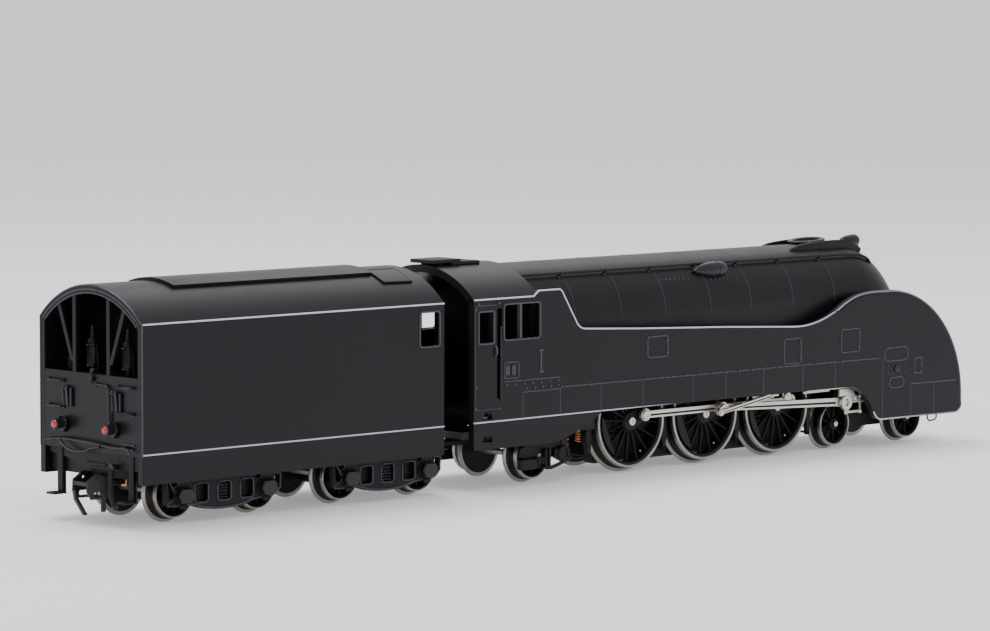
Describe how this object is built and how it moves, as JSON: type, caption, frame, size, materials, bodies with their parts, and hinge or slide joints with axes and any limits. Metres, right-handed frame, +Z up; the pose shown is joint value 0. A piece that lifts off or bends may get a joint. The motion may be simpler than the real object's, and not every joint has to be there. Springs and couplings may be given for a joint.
{
  "type": "model steam locomotive",
  "caption": "Small-scale streamlined steam locomotive and bogie tender with turning wheels, moving rods, swivelling trucks and a swinging hook coupler.",
  "frame": {"origin": "centre of the whole engine and tender in plan, at the lowest point of the wheel flanges", "axes": "+X towards the front of the engine, +Y towards its left side, +Z up"},
  "size_m": [0.1394, 0.0186, 0.0273],
  "materials": {
    "body_black": "satin",
    "frame_black": "matte",
    "lamp_black": "gloss",
    "die_cast": "cast",
    "motor_steel": "brushed",
    "nylon": "satin",
    "wheel_black": "satin",
    "nickel": "polished"
  },
  "bodies": {
    "engine": {"cab_shell": "body_black", "valance_right": "body_black", "valance_left": "body_black", "boiler_casing": "body_black", "nose_casing": "body_black", "roof_vent": "body_black", "chimney_cowl": "body_black", "smoke_plate_right": "body_black", "smoke_plate_left": "body_black", "headlamp": "lamp_black", "turret_cover_right": "body_black", "turret_cover_left": "body_black", "handrail_right": "frame_black", "handrail_left": "frame_black", "chassis_block": "die_cast", "keeper_plate": "frame_black", "motor": "motor_steel", "cylinder_right": "frame_black", "cylinder_left": "frame_black", "slide_bar_right": "nickel", "slide_bar_left": "nickel"},
    "worm_shaft": {"worm_shaft": "motor_steel"},
    "driver_1": {"driver_wheelset_1": "wheel_black"},
    "driver_2": {"driver_wheelset_2": "wheel_black", "worm_gear": "nylon"},
    "driver_3": {"driver_wheelset_3": "wheel_black"},
    "lead_truck": {"lead_truck": "frame_black"},
    "lead_wheels_front": {"lead_wheelset_front": "wheel_black"},
    "lead_wheels_rear": {"lead_wheelset_rear": "wheel_black"},
    "trail_truck": {"trail_truck": "frame_black"},
    "trail_wheels": {"trail_wheelset": "wheel_black"},
    "drawbar": {"drawbar": "frame_black"},
    "tender": {"tender_shell": "body_black", "tender_end_frame": "body_black", "tender_floor": "frame_black", "ridge_cover": "body_black", "roof_hatch": "body_black", "pump_right": "frame_black", "pump_left": "frame_black", "tail_lamp_right": "lamp_black", "tail_lamp_left": "lamp_black", "step_right": "frame_black", "step_left": "frame_black", "uncoupling_lever": "frame_black", "brake_hose": "frame_black"},
    "coupler": {"coupler": "frame_black"},
    "bogie_rear": {"bogie_frame_rear": "frame_black"},
    "bogie_front": {"bogie_frame_front": "frame_black"},
    "bogie_rear_wheels_rear": {"rear_bogie_wheelset_rear": "wheel_black"},
    "bogie_rear_wheels_front": {"rear_bogie_wheelset_front": "wheel_black"},
    "bogie_front_wheels_rear": {"front_bogie_wheelset_rear": "wheel_black"},
    "bogie_front_wheels_front": {"front_bogie_wheelset_front": "wheel_black"},
    "crosshead_right": {"crosshead_right": "nickel"},
    "coupling_rod_right": {"coupling_rod_right": "nickel"},
    "main_rod_right": {"main_rod_right": "nickel"},
    "eccentric_rod_right": {"eccentric_rod_right": "nickel"},
    "crosshead_left": {"crosshead_left": "nickel"},
    "coupling_rod_left": {"coupling_rod_left": "nickel"},
    "main_rod_left": {"main_rod_left": "nickel"},
    "eccentric_rod_left": {"eccentric_rod_left": "nickel"}
  },
  "joints": [
    {"name": "driver_2_spin", "type": "hinge", "parent": "engine", "child": "driver_2", "pos_m": [0.0248, 0, 0.00633], "axis": [0, 1, 0], "continuous": true},
    {"name": "driver_1_spin", "type": "hinge", "parent": "engine", "child": "driver_1", "pos_m": [0.03785, 0, 0.00633], "axis": [0, 1, 0], "continuous": true},
    {"name": "driver_3_spin", "type": "hinge", "parent": "engine", "child": "driver_3", "pos_m": [0.01175, 0, 0.00633], "axis": [0, 1, 0], "continuous": true},
    {"name": "worm_shaft_spin", "type": "hinge", "parent": "engine", "child": "worm_shaft", "pos_m": [0.0248, 0, 0.0104], "axis": [1, 0, 0], "continuous": true},
    {"name": "coupling_rod_right_pivot", "type": "hinge", "parent": "driver_2", "child": "coupling_rod_right", "pos_m": [0.02654, -0.00637, 0.00709], "axis": [0, 1, 0], "continuous": true},
    {"name": "main_rod_right_pivot", "type": "hinge", "parent": "driver_2", "child": "main_rod_right", "pos_m": [0.02654, -0.00706, 0.00709], "axis": [0, 1, 0], "continuous": true},
    {"name": "eccentric_rod_right_pivot", "type": "hinge", "parent": "driver_2", "child": "eccentric_rod_right", "pos_m": [0.02535, -0.0079, 0.00663], "axis": [0, 1, 0], "continuous": true},
    {"name": "crosshead_right_slide", "type": "slide", "parent": "engine", "child": "crosshead_right", "axis": [1, 0, 0], "range_m": [-0.0019, 0.0019]},
    {"name": "coupling_rod_left_pivot", "type": "hinge", "parent": "driver_2", "child": "coupling_rod_left", "pos_m": [0.02405, 0.00637, 0.00807], "axis": [0, 1, 0], "continuous": true},
    {"name": "main_rod_left_pivot", "type": "hinge", "parent": "driver_2", "child": "main_rod_left", "pos_m": [0.02405, 0.00706, 0.00807], "axis": [0, 1, 0], "continuous": true},
    {"name": "eccentric_rod_left_pivot", "type": "hinge", "parent": "driver_2", "child": "eccentric_rod_left", "pos_m": [0.0245, 0.0079, 0.00688], "axis": [0, 1, 0], "continuous": true},
    {"name": "crosshead_left_slide", "type": "slide", "parent": "engine", "child": "crosshead_left", "axis": [1, 0, 0], "range_m": [-0.0019, 0.0019]},
    {"name": "lead_truck_swing", "type": "hinge", "parent": "engine", "child": "lead_truck", "pos_m": [0.05575, 0, 0.00335], "axis": [0, 0, 1], "range_deg": [-4, 4]},
    {"name": "lead_front_spin", "type": "hinge", "parent": "lead_truck", "child": "lead_wheels_front", "pos_m": [0.0627, 0, 0.00335], "axis": [0, 1, 0], "continuous": true},
    {"name": "lead_rear_spin", "type": "hinge", "parent": "lead_truck", "child": "lead_wheels_rear", "pos_m": [0.0488, 0, 0.00335], "axis": [0, 1, 0], "continuous": true},
    {"name": "trail_truck_swing", "type": "hinge", "parent": "engine", "child": "trail_truck", "pos_m": [0.005, 0, 0.00335], "axis": [0, 0, 1], "range_deg": [-4, 4]},
    {"name": "trail_spin", "type": "hinge", "parent": "trail_truck", "child": "trail_wheels", "pos_m": [-0.005, 0, 0.00335], "axis": [0, 1, 0], "continuous": true},
    {"name": "drawbar_swing", "type": "hinge", "parent": "engine", "child": "drawbar", "pos_m": [-0.012, 0, 0.00515], "axis": [0, 0, 1], "range_deg": [-6, 6]},
    {"name": "tender_swing", "type": "hinge", "parent": "drawbar", "child": "tender", "pos_m": [-0.026, 0, 0.00515], "axis": [0, 0, 1], "range_deg": [-6, 6]},
    {"name": "coupler_swing", "type": "hinge", "parent": "tender", "child": "coupler", "pos_m": [-0.0646, 0, 0.00455], "axis": [0, 0, 1], "range_deg": [-10, 10], "stiffness_Nm_per_rad": 0.0002},
    {"name": "bogie_rear_swing", "type": "hinge", "parent": "tender", "child": "bogie_rear", "pos_m": [-0.05435, 0, 0.00335], "axis": [0, 0, 1], "range_deg": [-3.5, 3.5]},
    {"name": "bogie_rear_rear_spin", "type": "hinge", "parent": "bogie_rear", "child": "bogie_rear_wheels_rear", "pos_m": [-0.0604, 0, 0.00335], "axis": [0, 1, 0], "continuous": true},
    {"name": "bogie_rear_front_spin", "type": "hinge", "parent": "bogie_rear", "child": "bogie_rear_wheels_front", "pos_m": [-0.0483, 0, 0.00335], "axis": [0, 1, 0], "continuous": true},
    {"name": "bogie_front_swing", "type": "hinge", "parent": "tender", "child": "bogie_front", "pos_m": [-0.0297, 0, 0.00335], "axis": [0, 0, 1], "range_deg": [-3.5, 3.5]},
    {"name": "bogie_front_rear_spin", "type": "hinge", "parent": "bogie_front", "child": "bogie_front_wheels_rear", "pos_m": [-0.03575, 0, 0.00335], "axis": [0, 1, 0], "continuous": true},
    {"name": "bogie_front_front_spin", "type": "hinge", "parent": "bogie_front", "child": "bogie_front_wheels_front", "pos_m": [-0.02365, 0, 0.00335], "axis": [0, 1, 0], "continuous": true}
  ],
  "couplings": [
    {"joint": "driver_1_spin", "follows": "driver_2_spin", "ratio": 1},
    {"joint": "driver_3_spin", "follows": "driver_2_spin", "ratio": 1},
    {"joint": "worm_shaft_spin", "follows": "driver_2_spin", "ratio": 18},
    {"joint": "coupling_rod_right_pivot", "follows": "driver_2_spin", "ratio": -1},
    {"joint": "main_rod_right_pivot", "follows": "driver_2_spin", "ratio": -1},
    {"joint": "eccentric_rod_right_pivot", "follows": "driver_2_spin", "ratio": -1},
    {"joint": "coupling_rod_left_pivot", "follows": "driver_2_spin", "ratio": -1},
    {"joint": "main_rod_left_pivot", "follows": "driver_2_spin", "ratio": -1},
    {"joint": "eccentric_rod_left_pivot", "follows": "driver_2_spin", "ratio": -1}
  ]
}
